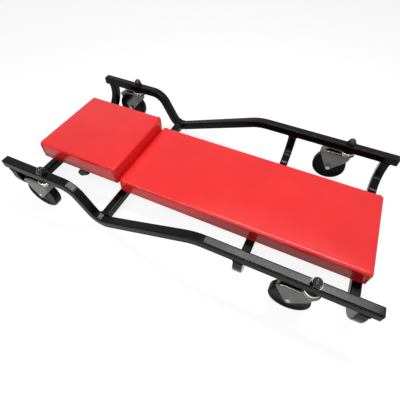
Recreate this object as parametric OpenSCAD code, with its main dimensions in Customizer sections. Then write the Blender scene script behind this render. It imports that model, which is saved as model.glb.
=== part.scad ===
// Mechanic creeper: a padded board that lies low between two bent side rails on four swivel casters.
// Millimetres. X runs from the head end to the foot end, Y from the near side to the far side, Z up
// from the floor. The origin is on the floor, midway between the rails and midway along them.

/* [Frame] */
// Overall length of a side rail with its end caps
frame_len = 1028; // [980:4:1100]
// Distance between the centre lines of the two side rails
track = 489; // [475:1:520]
// Outside width of the square frame tube
tube = 25; // [22:0.5:28]
// Wall of the square frame tube
tube_wall = 1.8; // [1.5:0.1:2.5]
// Outside corner radius of the square frame tube
tube_corner = 4; // [3:0.5:5]
// Height of the cross bars' top face above the floor
bar_top = 44; // [40:1:50]
// Centre line bend radius where a cross bar turns down from under the rails
bar_bend = 68; // [50:1:80]
// Distance from each rail end to the centre of the end cross bar
end_bar_inset = 31; // [24:1:38]
// Distance from the foot end to the centre of the middle cross bar
mid_bar_inset = 310; // [280:1:340]

/* [Rail bend] */
// Distance from the neck cross bar to the corner at the bottom of the rail's dip
dip_offset = 12; // [8:1:16]
// Height above the floor of the corner that the two slopes of the dip run to
dip_z = 18; // [14:0.5:24]
// Length of the steep slope on the head side of the dip
steep_run = 62; // [56:1:80]
// Length of the long slope on the foot side of the dip
gentle_run = 305; // [280:1:330]
// Bend radius at the top of the steep slope
shoulder_bend = 55; // [45:1:65]
// Bend radius at the bottom of the dip
dip_bend = 42; // [35:1:50]
// Bend radius at the top of the long slope
rise_bend = 150; // [100:5:200]
// How much thinner each face of the tube's wall is in a bend
bend_thin = 0.05; // [0.02:0.01:0.1]
// Length by which a straight run laps over a bend
bend_lap = 1; // [0.5:0.1:1.2]

/* [Rail end caps] */
// Thickness of the part of an end cap that shows
cap_face = 6.5; // [5:0.5:8]
// Rounding of an end cap's outer edges
cap_nose = 5; // [3:0.5:6]
// Wall of the hollow plug inside the rail
cap_wall = 2.5; // [1.5:0.5:4]
// Depth of the plug inside the rail
cap_plug = 16; // [10:1:24]
// Clearance between the plug and the tube wall
cap_gap = 0.2; // [0.1:0.1:0.4]

/* [Pads] */
// Width of both pads
pad_w = 267; // [250:1:280]
// Length of the main pad
main_len = 711; // [690:1:725]
// Thickness of the main pad at its edge
main_h = 45; // [40:1:52]
// Thickness of the headrest pad at its edge
head_h = 56; // [48:1:62]
// Distance from the foot end of the rails to the main pad
main_inset = 15.5; // [12:0.5:20]
// Distance from the head end of the rails to the headrest
head_inset = 21.5; // [16:0.5:28]
// Gap between the main pad and the headrest
crease_gap = 5; // [4.5:0.5:10]
// How far the main pad reaches past the centre of the neck cross bar
neck_overhang = 8.5; // [6:0.5:12]
// Corner radius of a pad seen from above
pad_corner = 8; // [6:1:14]
// Rounding of the main pad's upper edge
main_round = 11; // [8:1:14]
// Rounding of the headrest's upper edge
head_round = 12; // [9:1:16]
// Height of the crown above the pad's edge
crown = 2.5; // [1:0.5:6]
// How far the sides are drawn in at the board
draw_in = 2.5; // [1:0.5:4]
// Thickness of the vinyl cover
skin = 1.2; // [0.8:0.1:1.6]
// Width of the cover that is turned in under the board
turn_in = 22; // [16:1:22]
// Thickness of the plywood boards
board_t = 12; // [9:1:15]

/* [Board screws] */
// Distance of each board screw from the centre line
screw_y = 90; // [70:1:100]
// How far the end screws stand in from their bars' centres, toward the middle of the pad
screw_shift = 4; // [3:0.5:4.5]
// Radius of the wood screws
screw_r = 2; // [1.5:0.1:2.3]
// Radius of a wood screw's pan head
screw_head_r = 4; // [3.5:0.5:4.5]
// Height of a wood screw's pan head
screw_head_h = 2.2; // [1.8:0.1:3]
// How deep a screw bites into a board
screw_bite = 9; // [7:0.5:10]
// Clearance of screws and bolts in their holes
bolt_gap = 0.3; // [0.2:0.1:0.5]
// Clearance of a bolt in its nut or sleeve
fit_gap = 0.08; // [0.05:0.01:0.1]

/* [Headrest pivot] */
// Distance from the headrest's side to the centre line of the carrier bar under it
carrier_inset = 48.5; // [42:0.5:56]
// Height of the pivot above the carriers' top face
pivot_rise = 13; // [12:0.5:16]
// Height of the headrest's underside above the pivot
pivot_drop = 12.5; // [12:0.5:16]
// Radius of the pivot bolt
pivot_r = 5; // [4:0.5:6]
// Radius over the corners of the pivot bolt's hexagon head
pivot_head_r = 9; // [8:0.5:10]
// Height of the pivot bolt's head
pivot_head_h = 6.5; // [5:0.5:8]
// Running clearance between the pivot bolt and its holes
pivot_gap = 0.08; // [0.05:0.01:0.1]
// Sheet thickness of the saddles and brackets
ear_t = 3; // [2.5:0.5:3.5]
// Radius of the ears' round ends
ear_r = 9; // [8:0.5:9.5]
// Length of a saddle's base along the carrier
saddle_len = 44; // [36:1:56]
// Length of a headrest bracket's flange along the board
bracket_len = 90; // [70:1:110]
// Side clearance between a saddle's ears and the bracket's ears
ear_gap = 0.5; // [0.3:0.1:1]
// Width of a headrest bracket's flange across the board
bracket_w = 50; // [44:1:56]

/* [Headrest lever] */
// Radius of the lever's round ends
lever_r = 10.5; // [9:0.5:11]
// Distance from the pivot to the centre of the lever's tip
lever_reach = 26; // [20:1:34]
// Angle of the lever below level
lever_angle = 30; // [20:1:45]
// Thickness of the lever's grip
lever_t = 16; // [12:1:20]
// Rounding of the grip's edges
lever_round = 4; // [2:0.5:6]
// Distance from the near edge of the headrest to the grip's outer face
lever_out = 2.5; // [1:0.5:6]
// Radius of the lever's boss
boss_r = 8; // [7:0.5:9]
// Thickness of the grip outside the pivot bolt's end
grip_skin = 5.3; // [4:0.1:6]
// Thickness of the pivot washers
pivot_washer = 1.5; // [1:0.1:2]
// Side clearance on each side of a pivot washer
washer_gap = 0.2; // [0.1:0.1:0.4]
// Radius of the pivot washers
pivot_washer_r = 9.5; // [8.5:0.5:11]

/* [Casters] */
// Distance from each rail end to the caster stem
caster_inset = 140; // [128:1:154]
// Wheel radius
wheel_r = 50.8; // [46:0.1:54]
// Wheel width over the tyre
wheel_w = 24; // [20:1:26]
// Distance from the stem's axis to the wheel's axle
trail = 35.4; // [30:0.1:40]
// Gap between the top of the wheel and the fork's roof
roof_gap = 8.4; // [6:0.1:12]
// Sheet thickness of the fork
fork_sheet = 2.5; // [2:0.1:3]
// Gap between the wheel and each fork leg
leg_gap = 2; // [1.5:0.1:3]
// Bend radius on the outside of the fork's upper edges
fork_bend = 5; // [4:0.5:7]
// Length of the fork's level roof behind the stem
roof_run = 48; // [40:1:54]
// Radius of the roof where it curves down at the back
roof_curve = 37; // [30:1:50]
// Angle through which the roof curves down
roof_angle = 50; // [30:1:55]
// Radius of the leg's round end at the axle
leg_tip = 10; // [8:0.5:12]
// Distance behind the stem of the corner in the leg's front edge
leg_corner_x = 9; // [4:0.5:14]
// Height of the corner in the leg's front edge
leg_corner_z = 66; // [60:1:76]
// Height of the lower edge of the skirt in front of the stem
skirt_z = 94; // [88:1:100]

/* [Caster bearing] */
// Diameter of the bearing balls
ball_d = 4.7; // [4:0.1:5.5]
// Radius of the ring on which the balls run
ball_pitch = 14.6; // [13:0.1:15]
// Number of bearing balls in a caster
ball_n = 16; // [10:1:17]
// Clearance between the balls and the fork's race
ball_gap = 0.3; // [0.2:0.05:0.4]
// Clearance between the balls and the race cap that holds them
ball_seat = 0.05; // [0.02:0.01:0.1]
// Depth of the groove in each race
race_groove = 0.8; // [0.5:0.1:1.2]
// Height of the fork's race above its roof
race_rise = 2.25; // [1.5:0.05:2.4]
// Radius of the fork's round top plate
dish_r = 23; // [21:0.5:26]
// Radius of the top plate's turned-down rim
dish_rim = 4; // [3:0.5:5]
// Thickness of the race cap above the balls
cap_web = 2; // [1.5:0.1:2.5]
// Radius of the race cap
race_cap_r = 20; // [19:0.5:21]
// Thickness of the race cap's skirt
cap_skirt = 1.6; // [1:0.1:2]
// Rounding of the race cap's upper edge
cap_round = 2; // [1:0.5:2.5]

/* [Caster stem and axle] */
// Radius of the stem in the rail
stem_r = 5; // [4:0.5:6]
// Radius of the king pin below the rail
king_r = 6.5; // [6:0.5:7.5]
// Running clearance of the fork on the king pin
king_gap = 0.08; // [0.05:0.01:0.1]
// Radius of the king pin's head
king_head_r = 9; // [8:0.5:11]
// Height of the king pin's head
king_head_h = 4; // [3:0.5:5]
// Radius of the washer on the rail
washer_r = 13.8; // [12:0.1:14.5]
// Thickness of the washer on the rail
washer_t = 1.8; // [1.5:0.1:2.5]
// Width across the flats of the dome nut
dome_flats = 23; // [20:0.5:24]
// Height of the dome nut's hexagon
dome_hex_h = 8; // [6:0.5:10]
// Radius of the dome
dome_r = 10.8; // [9:0.1:11.4]
// Radius of the axle bolt
axle_r = 4; // [3:0.5:5]
// Radius of the axle bolt's domed head
axle_head_r = 6.5; // [5.5:0.5:8]
// Height of the axle bolt's domed head
axle_head_h = 3.5; // [2.5:0.5:4.5]
// Width across the flats of the axle nut
axle_flats = 13; // [11:0.5:14]
// Height of the axle nut
axle_nut_h = 6; // [5:0.5:8]
// Outside radius of the sleeve that the wheel runs on
sleeve_r = 6.5; // [6:0.5:8]
// Running clearance of the wheel on its sleeve
sleeve_gap = 0.08; // [0.05:0.01:0.1]

/* [Wheel] */
// Radius of the wheel's core, where the tyre begins
core_r = 40; // [34:0.5:42]
// Radius of the wheel's hub
hub_r = 13; // [11:0.5:16]
// How far the hub stands out past the tyre's side
hub_proud = 1.2; // [0.5:0.1:1.4]
// Depth of the dish in the wheel's side
web_dish = 3; // [2:0.5:5]
// Width of the core's rim
core_rim = 6; // [4:0.5:8]
// Rounding of the tyre's shoulders
tyre_round = 5; // [3:0.5:8]

/* [Hidden] */

// Facets of the round pieces
$fn = 64;
// How far a cut runs past the solid that it cuts
overrun = 1;
// Steps round each corner of a pad, up its side, round its upper edge and over its crown
corner_steps = 5;
side_steps = 4;
round_steps = 5;
crown_steps = 4;

half_len = frame_len / 2;
half_tube = tube / 2;
roof_z = 2 * wheel_r + roof_gap;
roof_top = roof_z + fork_sheet;
race_z = roof_top + race_rise;
ball_z = race_z - race_groove + ball_gap + ball_d / 2;
caster_z = ball_z + ball_d / 2 + ball_seat + cap_web;
cap_z = caster_z - cap_web - race_groove;
leg_in = wheel_w / 2 + leg_gap;
leg_out = leg_in + fork_sheet;
axle_point = [-trail, wheel_r];
leg_corner = [-leg_corner_x, leg_corner_z];
// Share of the leg's round end at which its straight edges run into it
tip_share = 0.98;
// Angle by which the leg's sheet laps over the curved roof
edge_lap = 1;
rail_z = caster_z + half_tube;
rail_top = caster_z + tube;
bar_z = bar_top - half_tube;

main_foot_x = half_len - main_inset;
main_head_x = main_foot_x - main_len;
neck_bar_x = main_head_x + neck_overhang;
head_bar_x = -half_len + end_bar_inset;
foot_bar_x = half_len - end_bar_inset;
mid_bar_x = half_len - mid_bar_inset;
dip_x = neck_bar_x - dip_offset;

head_foot_x = main_head_x - crease_gap;
head_head_x = -half_len + head_inset;
head_len = head_foot_x - head_head_x;
pivot_x = (head_bar_x + neck_bar_x) / 2;
pivot_z = bar_top + pivot_rise;
head_z = pivot_z + pivot_drop;
screw_xs = [neck_bar_x + screw_shift, mid_bar_x, foot_bar_x - screw_shift];
carrier_y = pad_w / 2 - carrier_inset;
// Outer faces of the two saddles, and the two faces of the lever's grip
saddle_face = carrier_y + half_tube;
grip_out = pad_w / 2 + lever_out;
grip_in = grip_out - lever_t;
// Angle round an ear's end at which its straight sides begin
ear_lean = 20;
// Share of a pad's corner radius that is left where its rings are smallest
corner_share = 0.125;
// Share of a screw head's radius at its top
head_top_share = 0.75;

// The four casters: name, end and side, where -1 is the head end and the near side
corners = [["near_head", -1, -1], ["far_head", -1, 1], ["near_foot", 1, -1], ["far_foot", 1, 1]];

black = "#202124";
red = "#e2383b";
chrome = "#c9ccd0";
zinc = "#a9adb1";

// A rectangle with round corners, centred
module round_rect(a, b, r) {
    square([a - 2 * r, b], center = true);
    square([a, b - 2 * r], center = true);
    for (x = [-1, 1], y = [-1, 1])
        translate([x * (a / 2 - r), y * (b / 2 - r)])
            circle(r = r);
}

module round_square(size, r) {
    round_rect(size, size, r);
}

// Section of the frame tube, with its wall made thinner on both faces
module tube_section(thin) {
    difference() {
        round_square(tube - 2 * thin, tube_corner - thin);
        round_square(tube - 2 * (tube_wall - thin), tube_corner - tube_wall + thin);
    }
}

// The way from one point of a path to another, as an angle above level, and the turn at a corner
function way(a, b) = atan2(b[1] - a[1], b[0] - a[0]);
function turn(path, i) = way(path[i], path[i + 1]) - way(path[i - 1], path[i]);
function setback(path, radii, i) =
    i == 0 || i == len(path) - 1 ? 0 : radii[i] * tan(abs(turn(path, i)) / 2);

// A bent tube whose centre line follows a path in the XZ plane, with a bend of its own radius at
// each inner corner
module bent_tube(path, radii) {
    translate([path[0][0], 0, path[0][1]])
        rotate([0, 90 - way(path[0], path[1]), 0])
            tube_from(path, radii, 0);
}

// The rest of a bent tube from point i of its path, with the tube's own way as Z
module tube_from(path, radii, i) {
    straight = norm(path[i + 1] - path[i]) - setback(path, radii, i) - setback(path, radii, i + 1);
    lap_in = i > 0 ? bend_lap : 0;
    lap_out = i < len(path) - 2 ? bend_lap : 0;
    translate([0, 0, -lap_in])
        linear_extrude(straight + lap_in + lap_out)
            tube_section(0);
    if (i < len(path) - 2) {
        angle = turn(path, i + 1);
        r = sign(angle) * radii[i + 1];
        translate([-r, 0, straight]) {
            mirror([angle < 0 ? 1 : 0, 0, 0])
                rotate([90, 0, 0])
                    rotate_extrude(angle = abs(angle), $fn = 96)
                        translate([abs(r), 0])
                            tube_section(bend_thin);
            rotate([0, -angle, 0])
                translate([r, 0, 0])
                    tube_from(path, radii, i + 1);
        }
    }
}

// A side rail: level over the head caster, down into the dip at the neck, and up again to the foot
module rail(side) {
    end = half_len - cap_face;
    path = [[-end, rail_z], [dip_x - steep_run, rail_z], [dip_x, dip_z],
            [dip_x + gentle_run, rail_z], [end, rail_z]];
    color(black)
        translate([0, side * track / 2, 0])
            difference() {
                bent_tube(path, [0, shoulder_bend, dip_bend, rise_bend, 0]);
                for (e = [-1, 1])
                    translate([e * (half_len - caster_inset), 0, caster_z - overrun])
                        cylinder(h = tube + 2 * overrun, r = stem_r + bolt_gap);
            }
}

// Places of the board screws
module at_board_screws() {
    for (x = screw_xs, y = [-1, 1])
        translate([x, y * screw_y, 0])
            children();
}

// Cuts the screw holes out of a cross bar
module drilled() {
    difference() {
        children();
        at_board_screws()
            translate([0, 0, bar_top - tube - overrun])
                cylinder(h = tube + 2 * overrun, r = screw_r + bolt_gap);
    }
}

// A cross bar that drops from under one rail, runs under the pads and climbs to the other rail
module dropped_bar(x) {
    path = [[-track / 2, caster_z], [-track / 2, bar_z], [track / 2, bar_z], [track / 2, caster_z]];
    color(black)
        translate([x, 0, 0])
            rotate([0, 0, 90])
                bent_tube(path, [0, bar_bend, bar_bend, 0]);
}

// The straight cross bar between the low points of the rails
module neck_bar() {
    color(black)
        translate([neck_bar_x, (tube - track) / 2, bar_z])
            rotate([-90, 0, 0])
                linear_extrude(track - tube)
                    tube_section(0);
}

// A bar under the headrest, from the head cross bar to the neck cross bar
module carrier(side) {
    color(black)
        translate([head_bar_x + half_tube, side * carrier_y, bar_z])
            rotate([0, 90, 0])
                linear_extrude(neck_bar_x - head_bar_x - tube)
                    tube_section(0);
}

// The cap's face in section, with round outer edges, carried across the tube
module cap_profile() {
    translate([0, half_tube, 0])
        rotate([90, 0, 0])
            linear_extrude(tube)
                arch(half_tube, cap_face, cap_nose, -overrun);
}

// An end cap: a round-edged face over the tube's end, which is at height 0, and a hollow plug
module end_cap() {
    inner = tube - 2 * tube_wall - 2 * cap_gap;
    intersection() {
        linear_extrude(cap_face)
            round_square(tube, tube_corner);
        cap_profile();
        rotate([0, 0, 90])
            cap_profile();
    }
    translate([0, 0, -cap_plug])
        linear_extrude(cap_plug)
            difference() {
                round_square(inner, tube_corner - tube_wall);
                square(inner - 2 * cap_wall, center = true);
            }
}

module rail_end_caps() {
    color(black)
        for (e = [-1, 1], side = [-1, 1])
            translate([e * (half_len - cap_face), side * track / 2, rail_z])
                rotate([0, e * 90, 0])
                    end_cap();
}

// One ring of a pad: a rectangle with round corners, o inside the pad's outline, at height z
function pad_ring(a, b, o, z) =
    let (r = max(pad_corner - o, corner_share * pad_corner))
    [for (q = [0 : 3], i = [0 : corner_steps])
        let (t = 90 * q + 90 * i / corner_steps)
        [(q == 0 || q == 3 ? 1 : -1) * (a - o - r) + r * cos(t),
         (q < 2 ? 1 : -1) * (b - o - r) + r * sin(t), z]];

// Rings of a pad's surface s inside its cover, from height z0 up: the drawn-in side, which swells
// to the pad's full size, then the round upper edge, then the crown
function pad_rings(a, b, h, r, s, z0) =
    let (board_top = skin + board_t, shoulder = h - r, inner = b - 2 * corner_share * pad_corner)
    concat(
        [pad_ring(a, b, draw_in + s, z0)],
        z0 < board_top ? [pad_ring(a, b, draw_in + s, board_top)] : [],
        [for (i = [1 : side_steps])
            let (u = i / side_steps)
            pad_ring(a, b, draw_in * (1 - sin(90 * u)) + s, board_top + u * (shoulder - board_top))],
        [for (i = [1 : round_steps])
            let (t = 90 * i / round_steps)
            pad_ring(a, b, r - (r - s) * cos(t), shoulder + (r - s) * sin(t))],
        [for (i = [1 : crown_steps])
            let (w = i / crown_steps)
            pad_ring(a, b, r + w * (inner - r), h - s + crown * (1 - cos(180 * w)) / 2)]);

// A closed solid through a stack of rings
module ring_solid(rings) {
    m = len(rings[0]);
    n = len(rings);
    polyhedron(
        points = [for (ring = rings, p = ring) p],
        faces = concat(
            [[for (i = [0 : m - 1]) i]],
            [[for (i = [0 : m - 1]) n * m - 1 - i]],
            [for (k = [0 : n - 2], i = [0 : m - 1])
                let (j = (i + 1) % m)
                [k * m + i, (k + 1) * m + i, (k + 1) * m + j, k * m + j]]));
}

// The outline of a pad, o inside its own edge
module pad_outline(a, b, o) {
    polygon([for (p = pad_ring(a, b, o, 0)) [p[0], p[1]]]);
}

// Vinyl cover of a pad, turned in under the board all round
module cover(len, h, r) {
    a = len / 2;
    b = pad_w / 2;
    difference() {
        ring_solid(pad_rings(a, b, h, r, 0, 0));
        ring_solid(pad_rings(a, b, h, r, skin, skin));
        translate([0, 0, -overrun])
            linear_extrude(skin + 2 * overrun)
                pad_outline(a, b, turn_in);
    }
}

// Foam of a pad, glued to the board
module foam(len, h, r) {
    ring_solid(pad_rings(len / 2, pad_w / 2, h, r, skin, skin + board_t));
}

// Plywood board of a pad
module board(len) {
    inset = draw_in + skin;
    translate([0, 0, skin])
        linear_extrude(board_t)
            round_rect(len - 2 * inset, pad_w - 2 * inset, pad_corner - draw_in);
}

module on_bars() {
    translate([(main_head_x + main_foot_x) / 2, 0, bar_top])
        children();
}

module on_pivot() {
    translate([(head_head_x + head_foot_x) / 2, 0, head_z])
        children();
}

module main_board() {
    color("#c79a62")
        difference() {
            on_bars() board(main_len);
            at_board_screws()
                translate([0, 0, bar_top - overrun])
                    cylinder(h = skin + screw_bite + overrun, r = screw_r);
        }
}

module main_foam() {
    color("#e8dfc6") on_bars() foam(main_len, main_h, main_round);
}

module main_cover() {
    color(red)
        difference() {
            on_bars() cover(main_len, main_h, main_round);
            at_board_screws()
                translate([0, 0, bar_top - overrun])
                    cylinder(h = skin + 2 * overrun, r = screw_r + bolt_gap);
        }
}

// A pan head wood screw that points up, with its head's upper face at height 0
module wood_screw(through) {
    translate([0, 0, -screw_head_h])
        cylinder(h = screw_head_h, r1 = head_top_share * screw_head_r, r2 = screw_head_r);
    cylinder(h = through + screw_bite - bolt_gap, r = screw_r);
}

// Screws that come up through the cross bars
module board_screws() {
    color(zinc)
        at_board_screws()
            translate([0, 0, bar_top - tube])
                wood_screw(tube + skin);
}

// Places of the screws in the headrest brackets' flanges
module at_flange_screws() {
    for (x = [-1, 1], y = [-1, 1])
        translate([x * (bracket_len / 2 - 2 * screw_head_r), y * (bracket_w / 2 - 2 * screw_head_r), 0])
            children();
}

module at_bracket_screws() {
    for (side = [-1, 1])
        translate([pivot_x, side * carrier_y, head_z + skin])
            at_flange_screws()
                children();
}

module headrest_board() {
    color("#c79a62")
        difference() {
            on_pivot() board(head_len);
            at_bracket_screws()
                translate([0, 0, -overrun])
                    cylinder(h = screw_bite + overrun, r = screw_r);
        }
}

module headrest_foam() {
    color("#e8dfc6") on_pivot() foam(head_len, head_h, head_round);
}

module headrest_cover() {
    color(red) on_pivot() cover(head_len, head_h, head_round);
}

// Upright sheet ear: a foot of width w at height z and a round end at the pivot
module ear(w, z) {
    foot = abs(z);
    rotate([90, 0, 0])
        translate([0, 0, -ear_t / 2])
            linear_extrude(ear_t)
                difference() {
                    union() {
                        circle(r = ear_r);
                        polygon([[-w / 2, z], [w / 2, z],
                                 [ear_r * cos(ear_lean), -sign(-z) * ear_r * sin(ear_lean)],
                                 [-ear_r * cos(ear_lean), -sign(-z) * ear_r * sin(ear_lean)]]);
                    }
                    circle(r = pivot_r + pivot_gap);
                }
}

// Saddle welded on a carrier: a base and two ears
module pivot_saddle(side) {
    ear_y = (tube - ear_t) / 2;
    color(black)
        translate([pivot_x, side * carrier_y, pivot_z]) {
            translate([-saddle_len / 2, -half_tube, -pivot_rise])
                cube([saddle_len, tube, ear_t]);
            for (y = [-1, 1])
                translate([0, y * ear_y, 0])
                    ear(saddle_len - 2 * ear_t, ear_t / 2 - pivot_rise);
        }
}

// Bracket screwed under the headrest's board: a flange and two ears inside the saddle's ears
module headrest_bracket(side) {
    ear_y = half_tube - ear_t - ear_gap - ear_t / 2;
    flange_z = pivot_drop + skin - ear_t;
    color(black)
        translate([pivot_x, side * carrier_y, pivot_z]) {
            difference() {
                translate([-bracket_len / 2, -bracket_w / 2, flange_z])
                    cube([bracket_len, bracket_w, ear_t]);
                at_flange_screws()
                    translate([0, 0, flange_z - overrun])
                        cylinder(h = ear_t + 2 * overrun, r = screw_r + bolt_gap);
            }
            for (y = [-1, 1])
                translate([0, y * ear_y, 0])
                    ear(saddle_len, flange_z + ear_t / 2);
        }
}

module bracket_screws() {
    color(zinc)
        at_bracket_screws()
            translate([0, 0, -ear_t])
                wood_screw(ear_t);
}

// The pivot bolt: head beyond the far saddle, shank through both saddles into the lever
module pivot_bolt() {
    head_y = saddle_face + pivot_washer + 2 * washer_gap;
    tip_y = -grip_out + grip_skin;
    color(zinc)
        translate([pivot_x, 0, pivot_z]) {
            translate([0, head_y, 0])
                rotate([-90, 0, 0])
                    cylinder(h = pivot_head_h, r = pivot_head_r, $fn = 6);
            translate([0, tip_y, 0])
                rotate([-90, 0, 0])
                    cylinder(h = head_y - tip_y, r = pivot_r);
        }
}

module pivot_washers() {
    color(zinc)
        for (y = [-saddle_face - washer_gap - pivot_washer, saddle_face + washer_gap])
            translate([pivot_x, y, pivot_z])
                rotate([-90, 0, 0])
                    difference() {
                        cylinder(h = pivot_washer, r = pivot_washer_r);
                        translate([0, 0, -overrun])
                            cylinder(h = pivot_washer + 2 * overrun, r = pivot_r + pivot_gap);
                    }
}

// Half of the grip's section, with round edges, on one side of its middle
module grip_section() {
    half = lever_t / 2;
    translate([0, -half + lever_round])
        square([lever_r, lever_t - 2 * lever_round]);
    translate([0, -half])
        square([lever_r - lever_round, lever_t]);
    for (y = [-1, 1])
        translate([lever_r - lever_round, y * (half - lever_round)])
            circle(r = lever_round);
}

// Hand lever that clamps the headrest at its tilt: a rounded grip and a boss against the saddle
module clamp_lever() {
    boss_end = saddle_face + pivot_washer + 2 * washer_gap;
    color(black)
        translate([pivot_x, 0, pivot_z])
            difference() {
                union() {
                    translate([0, -(grip_in + grip_out) / 2, 0])
                        rotate([0, 180 - lever_angle, 0]) {
                            for (x = [0, lever_reach])
                                translate([x, 0, 0])
                                    rotate([90, 0, 0])
                                        rotate_extrude()
                                            grip_section();
                            rotate([0, 90, 0])
                                linear_extrude(lever_reach)
                                    for (m = [0, 1])
                                        mirror([m, 0])
                                            grip_section();
                        }
                    translate([0, -grip_in - lever_round, 0])
                        rotate([-90, 0, 0])
                            cylinder(h = grip_in + lever_round - boss_end, r = boss_r);
                }
                translate([0, -grip_out + grip_skin - washer_gap, 0])
                    rotate([-90, 0, 0])
                        cylinder(h = grip_out, r = pivot_r + pivot_gap);
            }
}

// A caster stands under its rail, trailing toward the head end; a caster on the far side is the
// mirror image of one on the near side
module at_caster(c) {
    translate([c[1] * (half_len - caster_inset), c[2] * track / 2, 0])
        mirror([0, c[2] > 0 ? 1 : 0, 0])
            children();
}

module at_all_casters() {
    for (c = corners)
        at_caster(c)
            children();
}

// An arch in section: two upright sides and a top with round corners, open below
module arch(half, top, r, low) {
    translate([-half, low])
        square([2 * half, top - r - low]);
    translate([r - half, low])
        square([2 * (half - r), top - low]);
    for (x = [-1, 1])
        translate([x * (half - r), top - r])
            circle(r = r);
}

// The fork's folded sheet in section: a roof over the wheel and a leg on each side
module fork_section(low) {
    difference() {
        arch(leg_out, roof_top, fork_bend, low);
        arch(leg_in, roof_z, fork_bend - fork_sheet, low - overrun);
    }
}

// Where a line from a point touches the leg's round end, a little inside it; side is 1 or -1
function tip_touch(p, side) =
    let (d = p - axle_point, a = atan2(d[1], d[0]) + side * acos(leg_tip / norm(d)))
    axle_point + tip_share * leg_tip * [cos(a), sin(a)];

// Side view of a leg, without the front edge's final cut
module leg_outline() {
    back = [-roof_run - (roof_curve - fork_bend) * sin(roof_angle - edge_lap),
            roof_top - roof_curve + (roof_curve - fork_bend) * cos(roof_angle - edge_lap)];
    front = tip_touch(leg_corner, -1);
    polygon([[0, roof_top - fork_bend], [0, front[1]], [axle_point[0], front[1]],
             tip_touch(back, 1), back, [-roof_run, roof_top - fork_bend]]);
    translate(axle_point)
        circle(r = leg_tip);
}

// The part that is cut away in front of the legs and under the skirt
module front_cut() {
    skirt = [leg_out, skirt_z];
    front = tip_touch(leg_corner, -1);
    polygon([2 * skirt - leg_corner, leg_corner, 2 * front - leg_corner,
             [2 * dish_r, 2 * front[1] - leg_corner[1]]]);
}

// The fork's sheet: a half-round skirt in front of the stem, a level roof, a roof that curves down
// behind, and the two legs
module fork_sheets() {
    rotate([0, 0, -90])
        rotate_extrude(angle = 180)
            intersection() {
                fork_section(leg_corner_z);
                square([2 * leg_out, 2 * roof_top]);
            }
    rotate([90, 0, -90])
        linear_extrude(roof_run)
            fork_section(roof_top - 2 * fork_bend);
    translate([-roof_run, 0, roof_top - roof_curve])
        rotate([90, -90, 0])
            rotate_extrude(angle = roof_angle)
                rotate(-90)
                    translate([0, roof_curve - roof_top])
                        fork_section(roof_top - roof_curve);
    for (y = [-leg_in, leg_out])
        translate([0, y, 0])
            rotate([90, 0, 0])
                linear_extrude(fork_sheet)
                    leg_outline();
}

// The fork's round top plate: a raised race round the king pin and a rim turned down outside
module fork_dish() {
    flat = dish_r - dish_rim;
    rotate_extrude()
        difference() {
            union() {
                translate([king_r + king_gap, race_z - fork_sheet])
                    square([flat - king_r - king_gap, fork_sheet]);
                intersection() {
                    translate([flat, race_z - dish_rim])
                        difference() {
                            circle(r = dish_rim);
                            circle(r = dish_rim - fork_sheet);
                        }
                    translate([flat, race_z - dish_rim])
                        square(dish_rim);
                }
            }
            translate([ball_pitch, ball_z])
                circle(r = ball_d / 2 + ball_gap);
        }
}

module fork() {
    color(chrome)
        difference() {
            union() {
                difference() {
                    fork_sheets();
                    translate([0, 2 * leg_out, 0])
                        rotate([90, 0, 0])
                            linear_extrude(4 * leg_out)
                                front_cut();
                }
                fork_dish();
            }
            translate([0, 0, roof_z - overrun])
                cylinder(h = race_z - roof_z + 2 * overrun, r = king_r + king_gap);
            translate([0, 0, roof_z - overrun])
                cylinder(h = race_z - fork_sheet - roof_z + overrun, r = leg_in - fork_sheet);
            translate([-trail, 2 * leg_out, wheel_r])
                rotate([90, 0, 0])
                    cylinder(h = 4 * leg_out, r = axle_r + bolt_gap);
        }
}

// Axle bolt: a low domed head on the outer side of the caster
module axle_bolt() {
    dome = (axle_head_r * axle_head_r + axle_head_h * axle_head_h) / (2 * axle_head_h);
    color(zinc)
        translate([-trail, 0, wheel_r]) {
            intersection() {
                translate([0, -leg_out - axle_head_h + dome, 0])
                    sphere(r = dome);
                translate([0, -leg_out, 0])
                    rotate([90, 0, 0])
                        cylinder(h = axle_head_h + overrun, r = axle_head_r);
            }
            translate([0, leg_out + axle_nut_h, 0])
                rotate([90, 0, 0])
                    cylinder(h = 2 * leg_out + axle_nut_h, r = axle_r);
        }
}

module axle_nut() {
    corner = axle_flats / sqrt(3);
    color(zinc)
        translate([-trail, leg_out, wheel_r])
            rotate([-90, 0, 0])
                difference() {
                    cylinder(h = axle_nut_h - bolt_gap, r = corner, $fn = 6);
                    translate([0, 0, -overrun])
                        cylinder(h = axle_nut_h + 2 * overrun, r = axle_r + fit_gap);
                }
}

// Sleeve clamped between the legs; the wheel turns on it
module axle_sleeve() {
    color(zinc)
        translate([-trail, leg_in, wheel_r])
            rotate([90, 0, 0])
                difference() {
                    cylinder(h = 2 * leg_in, r = sleeve_r);
                    translate([0, 0, -overrun])
                        cylinder(h = 2 * leg_in + 2 * overrun, r = axle_r + fit_gap);
                }
}

// The wheel core in section, on one side of the wheel's middle: hub, dished web and rim
function core_side() =
    let (face = wheel_w / 2, rim_in = core_r - core_rim)
    [[sleeve_r + sleeve_gap, face + hub_proud], [hub_r - hub_proud, face + hub_proud],
     [hub_r, face], [hub_r + web_dish, face - web_dish], [rim_in - web_dish, face - web_dish],
     [rim_in, face - web_dish / 2], [core_r, face - web_dish / 2]];

module wheel_core() {
    side = core_side();
    color(black)
        translate([-trail, 0, wheel_r])
            rotate([90, 0, 0])
                rotate_extrude($fn = 96)
                    polygon(concat(side, [for (i = [len(side) - 1 : -1 : 0])
                        [side[i][0], -side[i][1]]]));
}

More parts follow.
